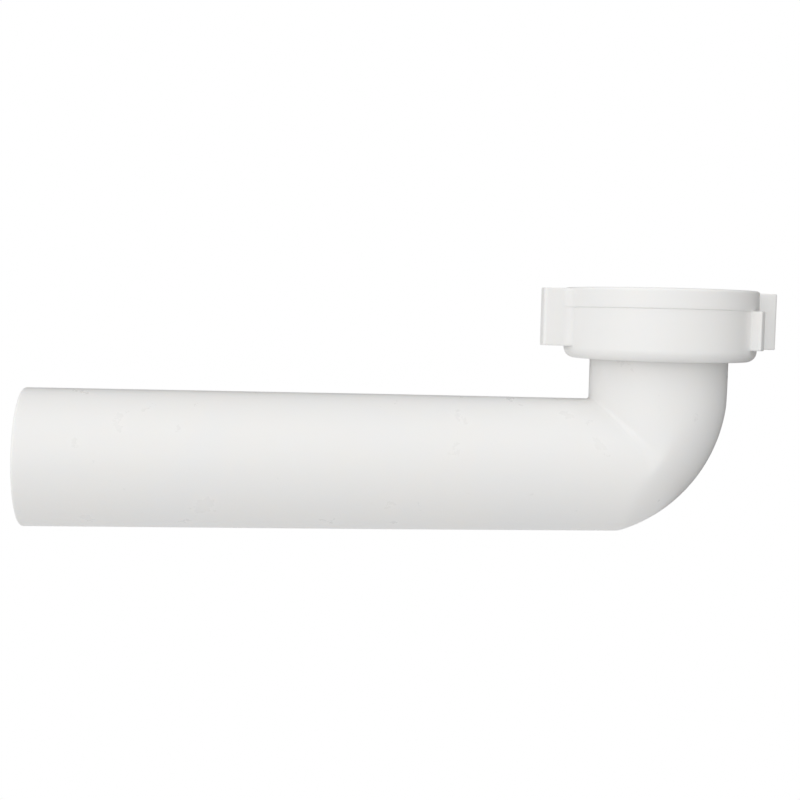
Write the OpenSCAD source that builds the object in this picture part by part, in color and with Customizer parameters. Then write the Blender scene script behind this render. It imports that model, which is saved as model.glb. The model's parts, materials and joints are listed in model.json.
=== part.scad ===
// Waste arm for a kitchen sink: a moulded elbow tube whose short leg ends in a
// flange, a winged slip nut that the flange holds captive, and a sealing washer.
// The origin is the centre of the washer's upper face, where the sink outlet seats.
// +Z runs up the leg and out of the nut, and the arm runs towards -X. Millimetres.
// Each round part takes its radius from the one inside it and a named step or gap,
// so the leg, flange, washer and nut all follow the tube's diameter.

/* [Arm tube] */
// Distance from the leg's axis to the free end
arm_len = 177.8; // [130:0.1:400]
// Outside diameter of the arm tube at its free end
tube_od = 38.1; // [30:0.1:54]
// Wall of the arm tube, whose bore also runs through the leg
tube_wall = 1.75; // [1.2:0.05:3]
// Length of the parallel stretch at the free end, which a slip joint takes
spigot_len = 100; // [40:1:100]
// How much the tube's radius slims from there to the leg's axis
neck_slim = 0.2; // [0.05:0.05:0.5]
// Radius that rounds the outer edge of the free end
end_round = 0.8; // [0.2:0.1:1.1]

/* [Leg and bend] */
// Height of the sealing face above the centre line of the arm
arm_drop = 38; // [36:0.5:90]
// How far the leg stands out past the tube all round
leg_step = 0.45; // [0.2:0.05:1]
// Radius of the bend's centre line
bend_r = 23.3; // [20:0.1:30]
// Depth of the bend's lowest point under the tube, which leaves a slight corner at the heel
heel_dip = 1.8; // [0.8:0.1:2.2]

/* [Flange] */
// How far the flange that holds the nut stands out from the leg
flange_reach = 2.5; // [1.8:0.1:4]
// Thickness of the flange
flange_t = 2.4; // [1.8:0.1:4]
// Radius that rounds the rim of the flange
flange_round = 0.6; // [0.3:0.1:0.8]

/* [Washer] */
// How far the washer reaches past the flange
washer_reach = 0.3; // [0:0.1:0.6]
// Thickness of the washer
washer_t = 2; // [1.4:0.1:4]
// Gap all round between the leg's bore and the washer's hole
washer_hole_gap = 0.5; // [0:0.1:1]
// Radius that rounds the washer's edges
washer_round = 0.4; // [0.2:0.1:0.6]

/* [Nut] */
// Gap all round between the washer and the smooth chamber below the thread
chamber_gap = 0.6; // [0.2:0.1:1]
// How far the root of the thread lies outside the chamber's wall
thread_step = 1.2; // [0.8:0.1:2]
// Wall of the nut outside the root of the thread
nut_wall = 3; // [2:0.1:5]
// Height of the nut above the sealing face
nut_above = 12.4; // [10:0.1:20]
// Thickness of the lip that pulls up on the flange
lip_t = 2.8; // [2:0.1:5]
// Gap all round between the leg and the nut's lip
lip_gap = 0.45; // [0.3:0.05:0.8]
// Gap between the nut's lip and the underside of the flange
lip_seat_gap = 0.3; // [0.2:0.05:0.4]
// Chamfer at the thread's mouth
mouth_chamfer = 0.9; // [0.3:0.1:1.2]
// Radius that rounds the nut's lower corner
nut_corner_r = 3; // [1.5:0.1:3.5]
// Height of the raised band at the nut's open end
band_h = 5.6; // [3:0.1:7]
// How far the band stands out from the body
band_proud = 0.3; // [0.1:0.05:0.8]
// Radius that rounds the rim of the band
rim_round = 0.8; // [0.3:0.1:1]
// Angle of the wings from the arm's line, as the nut happens to be turned
nut_turn = 5; // [0:1:90]

/* [Wings] */
// How far a wing stands out from the nut's body
wing_reach = 7.9; // [5:0.1:14]
// Thickness of a wing
wing_t = 4.2; // [3:0.1:6]
// Height of the wings' lower edge above the nut's rounded lower corner
wing_lift = 0.4; // [0.1:0.1:3]
// Depth of the wings' upper edge below the nut's rim
wing_top_gap = 0.3; // [0.1:0.1:2]
// Radius that rounds a wing's tip corners
wing_round = 0.9; // [0.3:0.1:1.4]
// Radius of the fillets at a wing's root
wing_fillet = 2.2; // [0.5:0.1:3]

/* [Grip ribs] */
// How far a rib stands out from the nut's body
rib_reach = 2.9; // [2:0.1:5]
// Width of a rib
rib_w = 3.2; // [2.4:0.1:5]
// Angle from a wing to the rib before it
rib_angle = 43; // [30:1:60]
// Radius that rounds a rib's outer corners
rib_round = 0.5; // [0.2:0.1:0.8]
// Radius of the fillets at a rib's root
rib_fillet = 0.6; // [0.3:0.1:1]

/* [Hidden] */
$fn = 96;

// How far a cutting shape runs past the surface it cuts
over = 1;
// How far the bend's surface stays outside the leg where the two meet
bend_blend = 0.1;
// Fillet under the flange, which a chamfer on the lip clears
flange_fillet = 0.4;
// How far a root fillet reaches into the lug that it joins
fillet_overlap = 0.1;

// Radii, each from the one before it
tube_r = tube_od / 2;
bore_r = tube_r - tube_wall;
neck_r = tube_r - neck_slim;
leg_r = tube_r + leg_step;
lip_r = leg_r + lip_gap;
flange_r = leg_r + flange_reach;
washer_r = flange_r + washer_reach;
washer_hole_r = bore_r + washer_hole_gap;
chamber_r = washer_r + chamber_gap;
thread_r = chamber_r + thread_step;
nut_r = thread_r + nut_wall;

// Heights, down from the sealing face and then up the nut
flange_top = -washer_t;
flange_base = flange_top - flange_t;
lip_top = flange_base - lip_seat_gap;
nut_base = lip_top - lip_t;
wing_base = nut_base + nut_corner_r + wing_lift;
wing_top = nut_above - wing_top_gap;
band_base = nut_above - band_h;
arm_z = -arm_drop;

// Centre height of the bend's curve, whose lowest point is the heel's
bend_z = arm_z - neck_r - heel_dip + bend_r + leg_r + bend_blend;
// Lugs start inside the nut's wall, clear of the thread
lug_root_r = nut_r - nut_wall / 2;

// Half section of a disc from the axis out to r, with its outer corners rounded
module disc_section(r, z0, z1, lower_round, upper_round) {
    translate([0, z0 + lower_round])
        square([r, z1 - z0 - lower_round - upper_round]);
    translate([0, z0])
        square([r - lower_round, lower_round + upper_round]);
    translate([0, z1 - upper_round - lower_round])
        square([r - upper_round, lower_round + upper_round]);
    translate([r - lower_round, z0 + lower_round])
        circle(lower_round);
    translate([r - upper_round, z1 - upper_round])
        circle(upper_round);
}

// Half section of the arm tube, from inside the bend to its rounded free end
module tube_section() {
    polygon([
        [0, -leg_r],
        [neck_r, -leg_r],
        [neck_r, 0],
        [tube_r, arm_len - spigot_len],
        [tube_r, arm_len - end_round],
        [tube_r - end_round, arm_len],
        [0, arm_len]
    ]);
    translate([tube_r - end_round, arm_len - end_round])
        circle(end_round);
}

// Turns a shape that runs up from the origin so that it runs along the arm
module along_arm() {
    translate([0, 0, arm_z])
        rotate([0, -90, 0])
            children();
}

// Everything outside the bend's rounded heel, for a tube of this radius. Inside the
// bend's centre line nothing is taken away, so the throat keeps its sharp corner.
module heel_cutter(r) {
    half_width = r + 3 * over;
    reach = bend_r + r + 10 * over;
    translate([-bend_r, 0, bend_z])
        rotate([90, 0, 0])
            difference() {
                translate([0, -reach, -half_width])
                    cube([reach, reach, 2 * half_width]);
                rotate_extrude() {
                    translate([0, -half_width - over])
                        square([bend_r, 2 * (half_width + over)]);
                    intersection() {
                        translate([bend_r, 0])
                            circle(r);
                        translate([bend_r / 2, -r - over])
                            square([bend_r + r, 2 * (r + over)]);
                    }
                }
            }
}

// Outer form of tube, bend and leg: two crossing tubes with a rounded heel
module arm_outside() {
    difference() {
        union() {
            along_arm()
                rotate_extrude()
                    tube_section();
            translate([0, 0, arm_z])
                cylinder(r = leg_r, h = arm_drop + flange_base);
        }
        heel_cutter(leg_r + bend_blend);
    }
    // Flange, and the small fillet under it
    rotate_extrude() {
        disc_section(flange_r, flange_base, flange_top, flange_round, flange_round);
        difference() {
            translate([0, flange_base - flange_fillet])
                square([leg_r + flange_fillet, 2 * flange_fillet]);
            translate([leg_r + flange_fillet, flange_base - flange_fillet])
                circle(flange_fillet);
        }
    }
}

// The waterway, whose heel is rounded about the same centre line
module arm_waterway() {
    difference() {
        union() {
            along_arm()
                translate([0, 0, -bore_r])
                    cylinder(r = bore_r, h = arm_len + bore_r + over);
            translate([0, 0, arm_z])
                cylinder(r = bore_r, h = arm_drop + over);
        }
        heel_cutter(bore_r + bend_blend);
    }
}

module arm() {
    color([0.94, 0.93, 0.91])
        difference() {
            arm_outside();
            arm_waterway();
        }
}

module washer() {
    color([0.86, 0.88, 0.88])
        rotate_extrude()
            difference() {
                disc_section(washer_r, -washer_t, 0, washer_round, washer_round);
                translate([0, -washer_t - over])
                    square([washer_hole_r, washer_t + 2 * over]);
            }
}

// Fillet in the corner between a lug's flank and the nut's round body
module root_fillet(half_w, fillet) {
    centre_y = half_w + fillet;
    centre_r = nut_r + fillet;
    centre_x = sqrt(pow(centre_r, 2) - pow(centre_y, 2));
    difference() {
        polygon([
            [lug_root_r, half_w - fillet_overlap],
            [centre_x, half_w - fillet_overlap],
            [centre_x, half_w],
            [centre_x * nut_r / centre_r, centre_y * nut_r / centre_r],
            [lug_root_r, half_w + fillet / 2]
        ]);
        translate([centre_x, centre_y])
            circle(fillet);
    }
}

// A radial lug on the nut's side, such as a wing or a grip rib
module lug(width, tip_r, corner, fillet, z0, z1) {
    half_w = width / 2;
    translate([0, 0, z0])
        linear_extrude(z1 - z0) {
            translate([lug_root_r, -half_w])
                square([tip_r - corner - lug_root_r, width]);
            translate([tip_r - 2 * corner, corner - half_w])
                square([2 * corner, width - 2 * corner]);
            for (side = [-1, 1])
                translate([tip_r - corner, side * (half_w - corner)])
                    circle(corner);
            root_fillet(half_w, fillet);
            mirror([0, 1])
                root_fillet(half_w, fillet);
        }
}

module nut_outside() {
    wing_tip_r = nut_r + wing_reach;
    rib_tip_r = nut_r + rib_reach;
    rotate_extrude() {
        disc_section(nut_r, nut_base, nut_above - band_h / 2, nut_corner_r, over);
        disc_section(nut_r + band_proud, band_base, nut_above, band_proud, rim_round);
    }
    for (turn = [0, 180])
        rotate([0, 0, turn]) {
            lug(wing_t, wing_tip_r, wing_round, wing_fillet, wing_base, wing_top);
            rotate([0, 0, -rib_angle])
                lug(rib_w, rib_tip_r, rib_round, rib_fillet, wing_base, band_base);
        }
}

// Lip hole with a chamfer for the flange's fillet, smooth chamber, thread and mouth
module nut_inside() {
    lip_chamfer = flange_fillet;
    translate([0, 0, nut_base - over])
        cylinder(r = lip_r, h = lip_top - nut_base + 2 * over);
    translate([0, 0, lip_top - lip_chamfer])
        cylinder(r1 = lip_r, r2 = lip_r + lip_chamfer, h = lip_chamfer);
    translate([0, 0, lip_top])
        cylinder(r = chamber_r, h = over - lip_top);
    cylinder(r = thread_r, h = nut_above + over);
    translate([0, 0, nut_above - mouth_chamfer])
        cylinder(
            r1 = thread_r,
            r2 = thread_r + 2 * mouth_chamfer,
            h = 2 * mouth_chamfer
        );
}

module slip_nut() {
    color([0.95, 0.94, 0.92])
        rotate([0, 0, nut_turn])
            difference() {
                nut_outside();
                nut_inside();
            }
}

arm();
slip_nut();
washer();
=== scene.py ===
# %% [markdown]
# # A moulded waste arm with its winged slip nut
# This lesson dresses a waste arm, the elbow tube that carries water away from under a
# kitchen sink. The real one has three moulded pieces: the arm itself, which is a long
# tube, a tight bend and a short leg in one piece, a winged nut that hangs on the leg's
# flange, and a flat washer inside the nut. Each piece is a ring: you can follow its
# surface out of one opening, over the outside and back through the bore. So one way of
# building a closed ring of skin serves all three, and only the sections change.
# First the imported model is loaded. It fixes every size and place below.

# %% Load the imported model
import json
import math
import bpy
import numpy as np
from mathutils import Matrix, Vector


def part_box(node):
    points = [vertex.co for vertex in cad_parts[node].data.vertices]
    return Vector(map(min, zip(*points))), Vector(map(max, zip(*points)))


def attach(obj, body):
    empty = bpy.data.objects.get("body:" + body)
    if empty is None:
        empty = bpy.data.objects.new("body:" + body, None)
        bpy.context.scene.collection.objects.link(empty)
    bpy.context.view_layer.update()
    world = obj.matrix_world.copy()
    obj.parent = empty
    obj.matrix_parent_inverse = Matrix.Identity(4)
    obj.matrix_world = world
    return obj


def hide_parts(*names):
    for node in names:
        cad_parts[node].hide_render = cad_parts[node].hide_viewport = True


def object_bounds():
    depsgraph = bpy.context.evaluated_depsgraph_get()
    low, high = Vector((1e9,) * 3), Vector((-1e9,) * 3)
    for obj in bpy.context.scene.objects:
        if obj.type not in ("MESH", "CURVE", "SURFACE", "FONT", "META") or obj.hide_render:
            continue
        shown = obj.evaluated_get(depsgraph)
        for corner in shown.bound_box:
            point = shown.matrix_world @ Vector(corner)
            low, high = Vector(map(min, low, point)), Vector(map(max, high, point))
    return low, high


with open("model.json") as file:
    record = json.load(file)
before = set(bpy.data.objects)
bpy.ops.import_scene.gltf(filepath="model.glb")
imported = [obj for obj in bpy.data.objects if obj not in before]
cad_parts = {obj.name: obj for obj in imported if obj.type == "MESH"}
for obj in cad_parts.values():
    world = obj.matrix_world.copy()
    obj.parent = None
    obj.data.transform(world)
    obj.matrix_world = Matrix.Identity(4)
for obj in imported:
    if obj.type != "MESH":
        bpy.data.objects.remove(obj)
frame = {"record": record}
cad_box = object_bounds()

# %% [markdown]
# ## Sizes
# A maker works from the fits: the tube's diameter sets the leg, the leg sets the flange,
# and so on out to the nut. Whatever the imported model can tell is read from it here, and
# the steps and gaps that it can't tell are written down once, in millimetres.

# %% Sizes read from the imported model
MM = 0.001
mounts = {mount["name"]: mount for mount in frame["record"]["mounts"]}
tube_r = mounts["free_end"]["dims"]["r_mm"] * MM
parallel_len = mounts["free_end"]["dims"]["length_mm"] * MM
arm_z = mounts["free_end"]["pos_m"][2]
thread_r = mounts["nut_thread"]["dims"]["r_mm"] * MM
thread_len = mounts["nut_thread"]["dims"]["length_mm"] * MM

arm_low, arm_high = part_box("arm")
arm_len = -arm_low.x
flange_r = arm_high.x
flange_top = arm_high.z
washer_low, washer_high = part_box("washer")
washer_r = washer_high.x
nut_low, nut_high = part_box("slip_nut")
nut_base = nut_low.z
nut_top = nut_high.z
print(f"arm {arm_len / MM:.1f} mm long, tube {2 * tube_r / MM:.1f} mm across, nut {(nut_top - nut_base) / MM:.1f} mm high")

# %% Steps and gaps that the moulds have
tube_wall = 1.75 * MM
neck_slim = 0.2 * MM
leg_step = 0.45 * MM
bend_r = 23.3 * MM
heel_dip = 1.8 * MM
bend_blend = 0.1 * MM
flange_t = 2.4 * MM
lip_gap = 0.45 * MM
lip_seat_gap = 0.3 * MM

bore_r = tube_r - tube_wall
neck_r = tube_r - neck_slim
leg_r = tube_r + leg_step
end_round = 0.8 * MM
taper_len = arm_len - end_round - parallel_len
flange_base = flange_top - flange_t
bend_z = arm_z - neck_r - heel_dip + bend_r + leg_r + bend_blend
print(f"leg {2 * leg_r / MM:.1f} mm across, bore {2 * bore_r / MM:.1f} mm")

# %% [markdown]
# ## One way to close a skin
# Blender has a Spin tool and a Skin modifier, but the bend here is neither round nor of
# one section. A grid of points does better: each row is one closed ring round the piece,
# and the rows follow each other over the outside and back through the bore until the
# last meets the first. No pole and no cap is needed, so nothing has to be closed later.

# %% A closed skin from a stack of rings
SHARP_ANGLE = math.radians(38)


def ring_skin(name, rings):
    """A closed surface through a stack of closed rings, shaped (rings, points, 3).

    Point j of ring i makes one face with point j + 1 and with the same two points of the
    next ring, and both counts wrap round, so that the surface has no edge anywhere."""
    count, around = rings.shape[:2]
    i = np.arange(count)[:, None]
    j = np.arange(around)[None, :]
    here, after = i * around, (i + 1) % count * around
    beside = (j + 1) % around
    quads = np.stack([here + j, here + beside, after + beside, after + j], axis=-1).reshape(-1, 4)
    mesh = bpy.data.meshes.new(name)
    mesh.from_pydata(rings.reshape(-1, 3).tolist(), [], quads.tolist())
    mesh.shade_smooth()
    mesh.set_sharp_from_angle(angle=SHARP_ANGLE)
    mesh.update()
    piece = bpy.data.objects.new(name, mesh)
    bpy.context.scene.collection.objects.link(piece)
    return piece


def enclosed_volume(piece):
    """The volume inside a closed mesh: the sum, over its triangles, of the signed volume
    of the tetrahedron from the origin. It is positive where the faces point outwards."""
    mesh = piece.data
    mesh.calc_loop_triangles()
    points = np.empty(len(mesh.vertices) * 3)
    mesh.vertices.foreach_get("co", points)
    corners = np.empty(len(mesh.loop_triangles) * 3, dtype=np.int32)
    mesh.loop_triangles.foreach_get("vertices", corners)
    a, b, c = np.moveaxis(points.reshape(-1, 3)[corners.reshape(-1, 3)], 1, 0)
    return float(np.einsum("ij,ij->i", a, np.cross(b, c)).sum() / 6)


# %% [markdown]
# ## Finding a moulded surface along rays
# A moulded plastic elbow is two tubes that run into each other, with a small fillet in
# the corner and the heel rounded off. Booleans give that form with hard, noisy edges.
# Instead each solid is described by how far a point lies outside it. Such distances can
# be joined with a true fillet, and the skin lies wherever the joined distance is zero.
# A ray from the middle of the tube meets it once, so halving the ray finds the place.

# %% Distances that join with a fillet
def joined(a, b, fillet):
    """Distance to two solids joined together, with a fillet of this radius between them.
    Near the corner both distances are under the radius, and what is left of it in each
    direction gives the point's place in the fillet's quarter circle."""
    reach = np.hypot(np.maximum(fillet - a, 0), np.maximum(fillet - b, 0))
    return np.maximum(fillet, np.minimum(a, b)) - reach


def kept(a, b, rounding):
    """Distance to what two solids share, its edge rounded to this radius."""
    reach = np.hypot(np.maximum(rounding + a, 0), np.maximum(rounding + b, 0))
    return np.minimum(-rounding, np.maximum(a, b)) + reach


def ray_lengths(distance, starts, directions, longest):
    """How far each ray runs before it leaves the solid: the span that holds the crossing
    is halved until it is far thinner than a hair."""
    near = np.zeros(np.broadcast(starts, directions).shape[:-1])
    far = np.full_like(near, longest)
    for _ in range(30):
        middle = (near + far) / 2
        inside = distance(starts + middle[..., None] * directions) < 0
        near, far = np.where(inside, middle, near), np.where(inside, far, middle)
    return (near + far) / 2


def arc(centre, radius, start, end, count):
    """Points on an arc in a profile's plane: centre plus radius times cosine and sine."""
    angle = np.radians(np.linspace(start, end, count))
    return np.stack([centre[0] + radius * np.cos(angle), centre[1] + radius * np.sin(angle)], axis=-1)


# %% [markdown]
# ## The arm
# The arm's sections stand square across the tube. In the bend they turn about a line
# just outside the sharp inner corner, like the pages of a book about its spine, and then
# they lie square across the leg. From the middle of each section the rays run out to the
# outside form, and again to the waterway, so the wall stays true right round the bend.

# %% The arm's outside and waterway as distances
THROAT_FILLET = 0.9 * MM
HEEL_SOFTENING = 0.25 * MM


def crossing_tubes(points, along_r, up_r, heel_r, fillet):
    """Distance to the tube along the arm joined with the tube up the leg, less what lies
    outside the rounded heel. The heel is a tube of radius heel_r bent on a circle of
    radius bend_r about the line through (-bend_r, bend_z), and it only bounds what lies
    in the quarter to the right of that line and below it."""
    x, y, z = np.moveaxis(points, -1, 0)
    along = np.hypot(y, z - arm_z) - along_r(x)
    up = np.maximum(np.hypot(x, y) - up_r, arm_z - z)
    beyond = np.maximum(np.hypot(x + bend_r, z - bend_z) - bend_r, 0)
    heel = np.hypot(beyond, y) - heel_r
    heel = np.where((x > -bend_r) & (z < bend_z), heel, -heel_r)
    return kept(joined(along, up, fillet), heel, HEEL_SOFTENING)


def outer_radius(x):
    """The tube is parallel where a slip joint takes it, then slims towards the leg."""
    return neck_r + neck_slim * np.clip(-x / taper_len, 0, 1)


def outside(points):
    return crossing_tubes(points, outer_radius, leg_r, leg_r + bend_blend, THROAT_FILLET)


def waterway(points):
    return crossing_tubes(points, lambda x: bore_r, bore_r, bore_r + bend_blend, THROAT_FILLET / 2)


# %% Sections along the arm, round the bend and up the leg
AROUND = 144
SPINE_GAP = 0.7 * MM
spine_x = -leg_r - SPINE_GAP
spine_z = arm_z + outer_radius(-leg_r) + SPINE_GAP
section_angle = np.linspace(0, 2 * math.pi, AROUND, endpoint=False)

straight_x = np.concatenate([[-arm_len + end_round + 0.15 * MM], np.linspace(-arm_len + 4 * MM, spine_x, 40)[:-1]])
turns = np.radians(np.linspace(0, 90, 101))
leg_z = np.linspace(spine_z, flange_base - 1 * MM, 8)[1:]

reach = (spine_z - arm_z) + (-spine_x - (spine_z - arm_z)) * turns / turns[-1]
zeros = np.zeros
starts = np.concatenate([
    np.stack([straight_x, zeros(len(straight_x)), np.full(len(straight_x), arm_z)], axis=-1),
    np.stack([spine_x + reach * np.sin(turns), zeros(len(turns)), spine_z - reach * np.cos(turns)], axis=-1),
    np.stack([zeros(len(leg_z)), zeros(len(leg_z)), leg_z], axis=-1),
])
lean = np.concatenate([zeros(len(straight_x)), turns, np.full(len(leg_z), turns[-1])])
outwards = np.stack([np.sin(lean), zeros(len(lean)), -np.cos(lean)], axis=-1)
sideways = np.array([0.0, 1.0, 0.0])
rays = (
    np.cos(section_angle)[None, :, None] * outwards[:, None, :]
    + np.sin(section_angle)[None, :, None] * sideways
)
LONGEST_RAY = 45 * MM
outer_reach = ray_lengths(outside, starts[:, None, :], rays, LONGEST_RAY)
inner_reach = ray_lengths(waterway, starts[:, None, :], rays, LONGEST_RAY)
outer_rings = starts[:, None, :] + outer_reach[..., None] * rays
inner_rings = starts[:, None, :] + inner_reach[..., None] * rays
walls = (outer_reach - inner_reach) / MM
print(f"{len(starts)} sections, wall from {walls.min():.2f} to {walls.max():.2f} mm")


# %% Rings of the free end and of the flange
def rings_about_arm(profile):
    """Rings about the arm's axis, from pairs of (radius, x)."""
    r, x = profile.T[:, :, None]
    around = np.broadcast_to(section_angle, (len(profile), AROUND))
    return np.stack([x + 0 * around, r * np.sin(around), arm_z - r * np.cos(around)], axis=-1)


def rings_about_leg(profile, angles=section_angle):
    """Rings about the leg's axis, from pairs of (radius, z)."""
    r, z = profile.T[:, :, None]
    around = np.broadcast_to(angles, (len(profile), len(angles)))
    return np.stack([r * np.cos(around), r * np.sin(around), z + 0 * around], axis=-1)


bore_edge = 0.3 * MM
flange_round = 0.6 * MM
flange_fillet = 0.4 * MM
support = 0.12 * MM
free_end = np.concatenate([
    [[bore_r, -arm_len + bore_edge + support]],
    arc((bore_r + bore_edge, -arm_len + bore_edge), bore_edge, 180, 270, 6),
    arc((tube_r - end_round, -arm_len + end_round), end_round, 270, 360, 9),
])
flange = np.concatenate([
    [[leg_r, flange_base - flange_fillet - support]],
    arc((leg_r + flange_fillet, flange_base - flange_fillet), flange_fillet, 180, 90, 6),
    [[flange_r - flange_round - support, flange_base]],
    arc((flange_r - flange_round, flange_base + flange_round), flange_round, -90, 0, 7),
    arc((flange_r - flange_round, flange_top - flange_round), flange_round, 0, 90, 7),
    [[flange_r - flange_round - support, flange_top], [bore_r + bore_edge + support, flange_top]],
    arc((bore_r + bore_edge, flange_top - bore_edge), bore_edge, 90, 180, 6),
    [[bore_r, flange_top - bore_edge - support]],
])
arm_rings = np.concatenate([
    rings_about_arm(free_end),
    outer_rings,
    rings_about_leg(flange),
    inner_rings[::-1],
])
arm = ring_skin("waste_arm", arm_rings)
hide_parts("arm")
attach(arm, "arm")
print(f"arm: {len(arm.data.polygons)} faces, {enclosed_volume(arm) / MM**3:.0f} mm3 of plastic")

# %% [markdown]
# ## The nut
# The nut is a round body with a raised band at its open end, two wings to turn it by and
# two small ribs. A lathe profile can't hold the wings and separate blocks would show
# hard joins, so the outside is again found along rays, this time from the nut's axis.
# The rows need to lie close where a wing starts and stops, and the rays close at its
# flanks, so both are gathered there.

# %% The nut's own sizes
nut_wall = 3 * MM
nut_corner_r = 3 * MM
lip_top = flange_base - lip_seat_gap
lip_r = leg_r + lip_gap
chamber_r = thread_r - 1.2 * MM
nut_r = thread_r + nut_wall
band_h = 5.6 * MM
band_proud = 0.3 * MM
rim_round = 0.8 * MM
mouth_chamfer = nut_top - thread_len
band_base = nut_top - band_h
nut_turn = math.radians(5)
rib_angle = math.radians(43)
lug_base = nut_base + nut_corner_r + 0.4 * MM
wing = dict(width=4.2 * MM, tip=nut_r + 7.9 * MM, corner=0.9 * MM, root=2.2 * MM, top=nut_top - 0.3 * MM)
rib = dict(width=3.2 * MM, tip=nut_r + 2.9 * MM, corner=0.5 * MM, root=0.6 * MM, top=band_base)
lugs = [
    (nut_turn + half_turn - back, shape)
    for half_turn in (0, math.pi)
    for back, shape in ((0, wing), (rib_angle, rib))
]
LUG_EDGE = 0.4 * MM
print("lugs at", [round(math.degrees(angle) % 360) for angle, _ in lugs], "degrees")


# %% The nut's outside as a distance
def body_radius(z):
    """Radius of the round body at a height: the plain wall, the band with its rounded
    foot, and the rounded rim, whose quarter circle is solved for the radius."""
    foot = np.clip(band_base + band_proud - z, 0, band_proud)
    band = nut_r + np.sqrt(band_proud**2 - foot**2)
    rim = np.clip(z - (nut_top - rim_round), 0, rim_round)
    band = band - rim_round + np.sqrt(rim_round**2 - rim**2)
    return np.where(z < band_base, nut_r, band)


def lug_distance(points, angle, shape):
    """Distance to a lug with its root fillets, cut off level at its two ends."""
    x, y, z = np.moveaxis(points, -1, 0)
    out = x * math.cos(angle) + y * math.sin(angle)
    across = np.abs(y * math.cos(angle) - x * math.sin(angle))
    corner = shape["corner"]
    past_tip, past_side = out - shape["tip"] + corner, across - shape["width"] / 2 + corner
    bar = np.hypot(np.maximum(past_tip, 0), np.maximum(past_side, 0)) - corner
    bar = bar + np.minimum(np.maximum(past_tip, past_side), 0)
    bar = np.where(out > 0, bar, nut_r)
    body = np.hypot(x, y) - body_radius(z)
    ends = np.abs(z - (lug_base + shape["top"]) / 2) - (shape["top"] - lug_base) / 2
    return kept(joined(body, bar, shape["root"]), ends, LUG_EDGE)


def nut_outside(points):
    x, y, z = np.moveaxis(points, -1, 0)
    result = np.hypot(x, y) - body_radius(z)
    for angle, shape in lugs:
        result = np.minimum(result, lug_distance(points, angle, shape))
    return result


# %% Angles and heights, gathered where the lugs are
def flank_angles(shape):
    """Angles from a lug's middle, close together over its tip corner, flank and fillet."""
    half, corner, root = shape["width"] / 2, shape["corner"], shape["root"]
    tip_start = math.asin((half - corner) / shape["tip"])
    tip_end = math.asin(half / shape["tip"])
    foot_start = math.asin(half / (nut_r + root))
    foot_end = math.asin((half + root) / (nut_r + root))
    return np.concatenate([
        np.linspace(0, tip_start, 3)[:-1],
        np.linspace(tip_start, tip_end, 9)[:-1],
        np.linspace(tip_end, foot_start, 9)[:-1],
        np.linspace(foot_start, foot_end * 1.05, 12),
    ])


PLAIN_STEP = math.radians(2)
gathered = np.concatenate([
    angle + side * flank_angles(shape) for angle, shape in lugs for side in (-1, 1)
])
plain = np.arange(0, 2 * math.pi, PLAIN_STEP)
spans = [(angle, flank_angles(shape)[-1] + PLAIN_STEP / 3) for angle, shape in lugs]
away = np.all([np.abs((plain - a + math.pi) % (2 * math.pi) - math.pi) > s for a, s in spans], axis=0)
nut_angle = np.unique(np.round(np.concatenate([gathered, plain[away]]) % (2 * math.pi), 9))

rounding_steps = LUG_EDGE * (1 - np.cos(np.radians(np.linspace(12, 90, 5))))
hair = 0.02 * MM
heights = np.concatenate([
    [nut_base + nut_corner_r + support, lug_base - hair],
    lug_base + hair + rounding_steps,
    np.linspace(lug_base + 1 * MM, band_base - 1 * MM, 4),
    rib["top"] - hair - rounding_steps,
    band_base + band_proud * (1 - np.cos(np.radians(np.linspace(5, 90, 5)))),
    np.linspace(band_base + 1 * MM, nut_top - 1.6 * MM, 3),
    wing["top"] - hair - rounding_steps,
    [wing["top"] + hair],
    nut_top - rim_round * (1 - np.sin(np.radians(np.linspace(0, 84, 9)))),
])
heights = np.unique(np.round(heights, 7))
nut_rays = np.stack([np.cos(nut_angle), np.sin(nut_angle), 0 * nut_angle], axis=-1)[None]
axis_points = np.stack([0 * heights, 0 * heights, heights], axis=-1)[:, None, :]
nut_reach = ray_lengths(nut_outside, axis_points, nut_rays, wing["tip"] + 2 * MM)
nut_side = axis_points + nut_reach[..., None] * nut_rays
print(f"{len(nut_angle)} rays at each of {len(heights)} heights")

# %% [markdown]
# The thread is a ridge that climbs by one pitch in each turn, to the right, as on every
# slip nut. In the unrolled bore it is a set of slanting stripes, so the ridge's height
# is a function of height less the share of a turn. A cone at the mouth and a smooth
# fade above the ledge give it the two runouts of the real one.

# %% The threaded bore
PITCH = 25.4 * MM / 11.5
RIDGE = 1.4 * MM
thread_z = np.linspace(thread_len, 0.05 * MM, 78)


def smooth_step(share):
    share = np.clip(share, 0, 1)
    return share * share * (3 - 2 * share)


turn_share = nut_angle[None, :] / (2 * math.pi)
phase = (thread_z[:, None] / PITCH - turn_share) % 1
flank = smooth_step((np.abs(2 * phase - 1) - 0.22) / 0.5)
fade = smooth_step((thread_z[:, None] - 0.3 * MM) / (1.2 * MM))
lead_in = thread_r - (thread_len - thread_z[:, None])
bore = np.maximum(thread_r - RIDGE * flank * fade, lead_in)
thread_rings = np.stack([
    bore * np.cos(nut_angle),
    bore * np.sin(nut_angle),
    np.broadcast_to(thread_z[:, None], bore.shape),
], axis=-1)
print(f"thread: {thread_len / PITCH:.1f} turns at {PITCH / MM:.2f} mm pitch")

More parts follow.
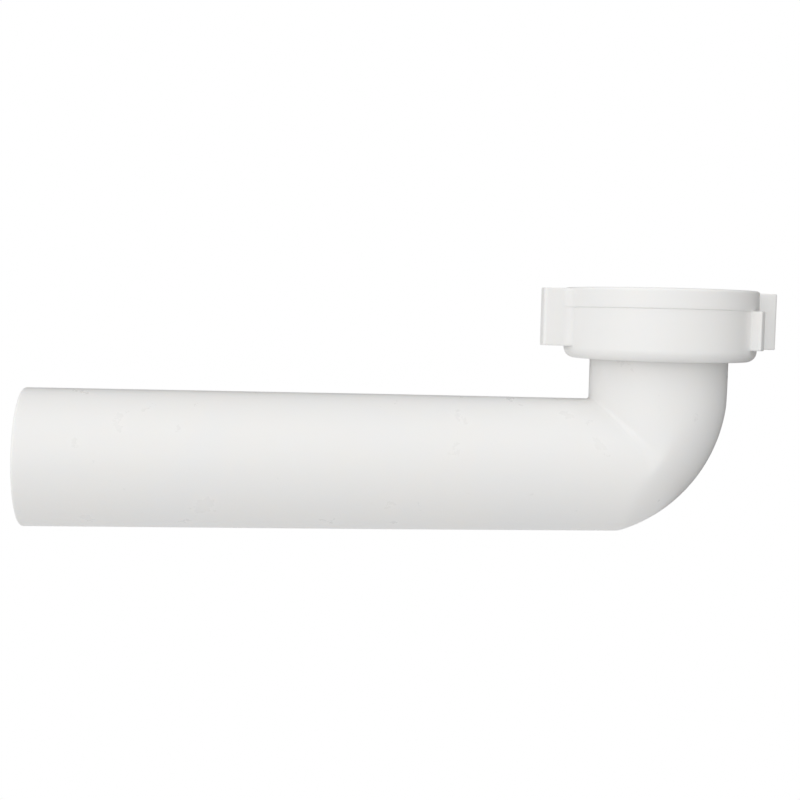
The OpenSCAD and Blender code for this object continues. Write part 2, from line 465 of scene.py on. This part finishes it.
# %% The nut's skin
lip_chamfer = flange_fillet
lip_edge = 0.3 * MM
body_rim = body_radius(np.array(nut_top)) - 0 * MM
rim_top = np.array([
    [body_rim, nut_top],
    [thread_r + mouth_chamfer + support, nut_top],
    [thread_r + mouth_chamfer, nut_top],
])
below_thread = np.array([
    [thread_r, 0],
    [chamber_r, 0],
    [chamber_r, -0.3 * MM],
    [chamber_r, lip_top + 0.1 * MM],
    [chamber_r - 0.1 * MM, lip_top],
    [lip_r + lip_chamfer, lip_top],
    [lip_r, lip_top - lip_chamfer],
    [lip_r, nut_base + lip_edge + support],
])
underside = np.concatenate([
    arc((lip_r + lip_edge, nut_base + lip_edge), lip_edge, 180, 270, 5),
    [[nut_r - nut_corner_r - support, nut_base]],
    arc((nut_r - nut_corner_r, nut_base + nut_corner_r), nut_corner_r, -90, 0, 13),
])
nut_rings = np.concatenate([
    nut_side,
    rings_about_leg(rim_top, nut_angle),
    thread_rings,
    rings_about_leg(below_thread, nut_angle),
    rings_about_leg(underside, nut_angle),
])
nut = ring_skin("winged_nut", nut_rings)
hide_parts("slip_nut")
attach(nut, "nut")
print(f"nut: {len(nut.data.polygons)} faces, {enclosed_volume(nut) / MM**3:.0f} mm3 of plastic")

# %% [markdown]
# ## The washer
# The washer is stamped and tumbled, so its edges are soft. It is a lathe form.

# %% The washer's skin
washer_hole_r = bore_r + 0.5 * MM
washer_round = 0.4 * MM
low_z, high_z = washer_low.z, washer_high.z
washer_profile = np.concatenate([
    arc((washer_hole_r + washer_round, low_z + washer_round), washer_round, 180, 270, 7),
    [[washer_hole_r + washer_round + support, low_z], [washer_r - washer_round - support, low_z]],
    arc((washer_r - washer_round, low_z + washer_round), washer_round, -90, 0, 7),
    arc((washer_r - washer_round, high_z - washer_round), washer_round, 0, 90, 7),
    [[washer_r - washer_round - support, high_z], [washer_hole_r + washer_round + support, high_z]],
    arc((washer_hole_r + washer_round, high_z - washer_round), washer_round, 90, 180, 7),
])
washer = ring_skin("sealing_washer", rings_about_leg(washer_profile))
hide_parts("washer")
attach(washer, "arm")
print(f"washer: {enclosed_volume(washer) / MM**3:.0f} mm3 of plastic")

# %% [markdown]
# ## What moulded plastic looks like
# White moulded plastic is never one flat white. The steel leaves a very fine grain, the
# wall sinks and swells a little as it cools, and the colour drifts between warmer and
# cooler white where the melt met. These effects are in all three finishes, so each is a
# node group that is built once and takes its own amounts in every material.

# %% Helpers for node groups
def new_group(name, inputs, outputs):
    """An empty shader node group with these sockets, and its input and output nodes."""
    group = bpy.data.node_groups.new(name, "ShaderNodeTree")
    for label, kind, value in inputs:
        socket = group.interface.new_socket(label, in_out="INPUT", socket_type=kind)
        socket.default_value = value
    for label, kind in outputs:
        group.interface.new_socket(label, in_out="OUTPUT", socket_type=kind)
    return group, group.nodes.new("NodeGroupInput"), group.nodes.new("NodeGroupOutput")


def add_node(tree, kind, settings=None, **sockets):
    """A node with its settings, and its input sockets set to a value or linked."""
    node = tree.nodes.new("ShaderNode" + kind)
    for name, value in (settings or {}).items():
        setattr(node, name, value)
    for name, value in sockets.items():
        socket = node.inputs[name.replace("_", " ")]
        if isinstance(value, bpy.types.NodeSocket):
            tree.links.new(value, socket)
        else:
            socket.default_value = value
    return node


# %% Surface of moulded plastic: grain from the steel and the wall's slow waves
skin_group, skin_in, skin_out = new_group(
    "moulded_skin",
    [("Grain Scale", "NodeSocketFloat", 1500.0), ("Grain Depth", "NodeSocketFloat", 0.1),
     ("Wave Scale", "NodeSocketFloat", 60.0), ("Wave Depth", "NodeSocketFloat", 0.1)],
    [("Normal", "NodeSocketVector")],
)
place = add_node(skin_group, "TexCoord")
wave = add_node(skin_group, "TexNoise", Vector=place.outputs["Object"], Scale=skin_in.outputs["Wave Scale"],
                Detail=1.5, Roughness=0.4)
grain = add_node(skin_group, "TexNoise", Vector=place.outputs["Object"], Scale=skin_in.outputs["Grain Scale"],
                 Detail=3.0, Roughness=0.6)
slow = add_node(skin_group, "Bump", Height=wave.outputs["Fac"], Strength=skin_in.outputs["Wave Depth"],
                Distance=0.001)
fine = add_node(skin_group, "Bump", Height=grain.outputs["Fac"], Strength=skin_in.outputs["Grain Depth"],
                Distance=0.0001, Normal=slow.outputs["Normal"])
skin_group.links.new(fine.outputs["Normal"], skin_out.inputs["Normal"])

# %% Colour of moulded plastic: a slow drift between two whites
tone_group, tone_in, tone_out = new_group(
    "tone_drift",
    [("Warm", "NodeSocketColor", (1, 1, 1, 1)), ("Cool", "NodeSocketColor", (1, 1, 1, 1)),
     ("Scale", "NodeSocketFloat", 30.0)],
    [("Color", "NodeSocketColor")],
)
place = add_node(tone_group, "TexCoord")
cloud = add_node(tone_group, "TexNoise", Vector=place.outputs["Object"], Scale=tone_in.outputs["Scale"],
                 Detail=4.0, Roughness=0.55, Distortion=0.6)
spread = add_node(tone_group, "MapRange", Value=cloud.outputs["Fac"])
spread.inputs["From Min"].default_value = 0.3
spread.inputs["From Max"].default_value = 0.7
blend = tone_group.nodes.new("ShaderNodeMix")
blend.data_type = "RGBA"
tone_group.links.new(spread.outputs["Result"], blend.inputs["Factor"])
tone_group.links.new(tone_in.outputs["Cool"], blend.inputs[6])
tone_group.links.new(tone_in.outputs["Warm"], blend.inputs[7])
tone_group.links.new(blend.outputs[2], tone_out.inputs["Color"])

# %% Gloss of moulded plastic: uneven by handling and by the mould's polish
gloss_group, gloss_in, gloss_out = new_group(
    "uneven_gloss",
    [("Smoothest", "NodeSocketFloat", 0.25), ("Roughest", "NodeSocketFloat", 0.4),
     ("Scale", "NodeSocketFloat", 90.0)],
    [("Roughness", "NodeSocketFloat")],
)
place = add_node(gloss_group, "TexCoord")
smear = add_node(gloss_group, "TexNoise", Vector=place.outputs["Object"], Scale=gloss_in.outputs["Scale"],
                 Detail=5.0, Roughness=0.65)
level = add_node(gloss_group, "MapRange", Value=smear.outputs["Fac"])
level.inputs["From Min"].default_value = 0.3
level.inputs["From Max"].default_value = 0.7
gloss_group.links.new(gloss_in.outputs["Smoothest"], level.inputs["To Min"])
gloss_group.links.new(gloss_in.outputs["Roughest"], level.inputs["To Max"])
gloss_group.links.new(level.outputs["Result"], gloss_out.inputs["Roughness"])


# %% [markdown]
# The material itself stays a plain Principled shader. What is the same all over a piece,
# such as the depth that light wanders under the skin, is set on the shader's own
# sockets, and only what changes over the surface comes from the groups.

# %% A moulded plastic material
def moulded_plastic(name, warm, cool, gloss, grain_depth, wave_depth, glow):
    """A white plastic from its two whites, its range of roughness and its skin."""
    material = bpy.data.materials.new(name)
    material.use_nodes = True
    tree = material.node_tree
    shader = tree.nodes["Principled BSDF"]
    groups = {}
    for group, values in (
        (tone_group, {"Warm": (*warm, 1), "Cool": (*cool, 1), "Scale": 35.0}),
        (gloss_group, {"Smoothest": gloss[0], "Roughest": gloss[1], "Scale": 110.0}),
        (skin_group, {"Grain Depth": grain_depth, "Wave Depth": wave_depth}),
    ):
        node = tree.nodes.new("ShaderNodeGroup")
        node.node_tree = group
        for label, value in values.items():
            node.inputs[label].default_value = value
        groups[group.name] = node
    tree.links.new(groups["tone_drift"].outputs["Color"], shader.inputs["Base Color"])
    tree.links.new(groups["uneven_gloss"].outputs["Roughness"], shader.inputs["Roughness"])
    tree.links.new(groups["moulded_skin"].outputs["Normal"], shader.inputs["Normal"])
    shader.inputs["IOR"].default_value = 1.49
    shader.inputs["Subsurface Weight"].default_value = glow
    shader.inputs["Subsurface Radius"].default_value = (1.0, 0.85, 0.7)
    shader.inputs["Subsurface Scale"].default_value = 1.2 * MM
    return material


arm.data.materials.append(moulded_plastic(
    "arm_white", (0.865, 0.855, 0.835), (0.85, 0.85, 0.845), (0.26, 0.36), 0.12, 0.12, 0.12))
nut.data.materials.append(moulded_plastic(
    "nut_white", (0.875, 0.865, 0.845), (0.86, 0.86, 0.855), (0.28, 0.38), 0.14, 0.1, 0.12))
washer.data.materials.append(moulded_plastic(
    "washer_milky", (0.74, 0.77, 0.77), (0.70, 0.75, 0.76), (0.42, 0.55), 0.2, 0.08, 0.35))
print("materials:", [m.name for m in bpy.data.materials])

# %% [markdown]
# ## The studio
# The photograph is a cut-out on white, and the tones on the plastic say how it was lit:
# brightest where it faces the front and the left, dimmer above, and darkest to the
# right. Broad soft light from those sides of the room gives that. A pale sheet lies well
# below the part and ends just to its right, so that less light comes up on that side.
# To the camera alone, room and sheet are plain white.

# %% A shader that the camera sees as plain white
def white_to_camera(tree, kind, shader, output):
    """Links the shader to the output, but gives the camera's own rays plain white."""
    white = add_node(tree, kind, Color=(1, 1, 1, 1), Strength=1.0)
    rays_kind = add_node(tree, "LightPath")
    choose = tree.nodes.new("ShaderNodeMixShader")
    tree.links.new(rays_kind.outputs["Is Camera Ray"], choose.inputs[0])
    tree.links.new(shader.outputs[0], choose.inputs[1])
    tree.links.new(white.outputs[0], choose.inputs[2])
    tree.links.new(choose.outputs[0], output.inputs["Surface"])


# %% Floor
FLOOR_DROP = 0.12
FLOOR_LEFT, FLOOR_RIGHT, FLOOR_DEPTH = -3.0, 0.15, 3.0
FLOOR_GLOW = 0.75
floor_z = cad_box[0].z - FLOOR_DROP
floor_mesh = bpy.data.meshes.new("floor")
floor_mesh.from_pydata([
    (FLOOR_LEFT, -FLOOR_DEPTH, floor_z),
    (FLOOR_RIGHT, -FLOOR_DEPTH, floor_z),
    (FLOOR_RIGHT, FLOOR_DEPTH, floor_z),
    (FLOOR_LEFT, FLOOR_DEPTH, floor_z),
], [], [(0, 1, 2, 3)])
floor = bpy.data.objects.new("floor", floor_mesh)
bpy.context.scene.collection.objects.link(floor)
floor_paint = bpy.data.materials.new("floor_white")
floor_paint.use_nodes = True
tree = floor_paint.node_tree
tree.nodes.clear()
glow = add_node(tree, "Emission", Color=(1, 1, 1, 1), Strength=FLOOR_GLOW)
white_to_camera(tree, "Emission", glow, tree.nodes.new("ShaderNodeOutputMaterial"))
floor_mesh.materials.append(floor_paint)

# %% Room
ROOM_LOBES = [
    ((0, -1, 0.3), 0.87),
    ((-1, 0, 0.3), 0.74),
    ((1, 0, 0.3), 0.12),
    ((0, 0, 1), 0.36),
]
world = bpy.data.worlds.new("room")
bpy.context.scene.world = world
world.use_nodes = True
tree = world.node_tree
tree.nodes.clear()
towards = add_node(tree, "TexCoord")
total = None
for direction, strength in ROOM_LOBES:
    facing = add_node(tree, "VectorMath", {"operation": "DOT_PRODUCT"})
    tree.links.new(towards.outputs["Generated"], facing.inputs[0])
    facing.inputs[1].default_value = Vector(direction).normalized()
    lobe = add_node(tree, "MapRange", {"interpolation_type": "SMOOTHSTEP"}, To_Max=strength)
    tree.links.new(facing.outputs["Value"], lobe.inputs["Value"])
    if total is None:
        total = lobe.outputs["Result"]
        continue
    both = add_node(tree, "Math")
    tree.links.new(total, both.inputs[0])
    tree.links.new(lobe.outputs["Result"], both.inputs[1])
    total = both.outputs["Value"]
dim = add_node(tree, "Background", Color=(1, 1, 1, 1), Strength=total)
white_to_camera(tree, "Background", dim, tree.nodes.new("ShaderNodeOutputWorld"))

# %% A soft lamp, front left
LAMP_PLACE = Vector((-0.9, -1.3, 0.1))
lamp_light = bpy.data.lights.new("soft_lamp", "AREA")
lamp_light.shape = "RECTANGLE"
lamp_light.size, lamp_light.size_y = 1.6, 1.2
lamp_light.energy = 1.5
lamp = bpy.data.objects.new("soft_lamp", lamp_light)
lamp.location = LAMP_PLACE
part_middle = (cad_box[0] + cad_box[1]) / 2
lamp.rotation_euler = (part_middle - LAMP_PLACE).to_track_quat("-Z", "Y").to_euler()
bpy.context.scene.collection.objects.link(lamp)

# %% [markdown]
# ## The camera
# The photograph was taken from a little left of the arm's middle, just above the level
# of the sealing face and looking slightly down and to the right. The lens and place
# below put every edge of the part where the photograph has it.

# %% Camera
CAMERA_PLACE = (-110.6 * MM, -368.45 * MM, 3.54 * MM)
YAW, PITCH_DOWN, ROLL = math.radians(5.653), math.radians(3.72), math.radians(1.429)
ahead = Vector((
    math.sin(YAW) * math.cos(PITCH_DOWN),
    math.cos(YAW) * math.cos(PITCH_DOWN),
    -math.sin(PITCH_DOWN),
))
level_right = ahead.cross(Vector((0, 0, 1))).normalized()
level_up = level_right.cross(ahead)
right = math.cos(ROLL) * level_right + math.sin(ROLL) * level_up
up = math.cos(ROLL) * level_up - math.sin(ROLL) * level_right
lens = bpy.data.cameras.new("camera")
lens.sensor_fit = "HORIZONTAL"
lens.sensor_width = 36
lens.lens = 59.24
lens.clip_start = 0.01
lens.clip_end = 20
camera = bpy.data.objects.new("camera", lens)
turned = Matrix((right, up, -ahead)).transposed()
camera.matrix_world = Matrix.Translation(CAMERA_PLACE) @ turned.to_4x4()
bpy.context.scene.collection.objects.link(camera)
bpy.context.scene.camera = camera
bpy.context.scene.view_settings.view_transform = "Standard"
print("camera", [round(v, 3) for v in camera.location])

# %% Bring the scene up to date
bpy.context.view_layer.update()
